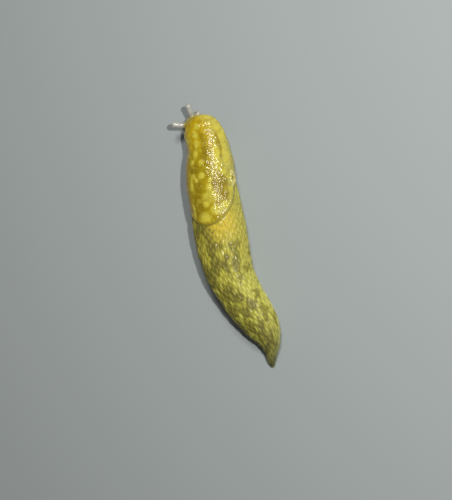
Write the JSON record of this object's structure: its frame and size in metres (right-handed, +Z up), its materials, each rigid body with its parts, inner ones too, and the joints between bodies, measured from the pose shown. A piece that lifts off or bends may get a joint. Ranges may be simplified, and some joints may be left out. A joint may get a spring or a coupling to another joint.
{
  "type": "green cellar slug",
  "caption": "Life-size still slug crawling half contracted on a flat sole, with mantle shield and breathing pore, keeled bent tail, mouth lips and stalked eyes.",
  "frame": {"origin": "on the floor, in the middle of the slug's outline seen from above", "axes": "+Z up from the sole, +Y along the body towards the head, +X to the slug's right"},
  "size_m": [0.0354, 0.082, 0.0116],
  "materials": {
    "body_skin": "wet, yellow-green flecks on olive",
    "mantle_skin": "wet, golden with pale blotches",
    "head_skin": "wet, golden",
    "foot_skin": "wet, pale cream",
    "tentacle_skin": "wet, translucent lilac grey",
    "eye_skin": "glossy dark"
  },
  "bodies": {
    "root": {"head": "head_skin", "neck": "body_skin", "trunk_front": "body_skin", "trunk_middle": "body_skin", "trunk_rear": "body_skin", "tail": "body_skin", "mantle": "mantle_skin", "foot_front": "foot_skin", "foot_middle": "foot_skin", "foot_rear": "foot_skin", "tentacle_upper_left": "tentacle_skin", "tentacle_upper_right": "tentacle_skin", "tentacle_lower_left": "tentacle_skin", "tentacle_lower_right": "tentacle_skin", "eye_left": "eye_skin", "eye_right": "eye_skin"}
  },
  "joints": []
}
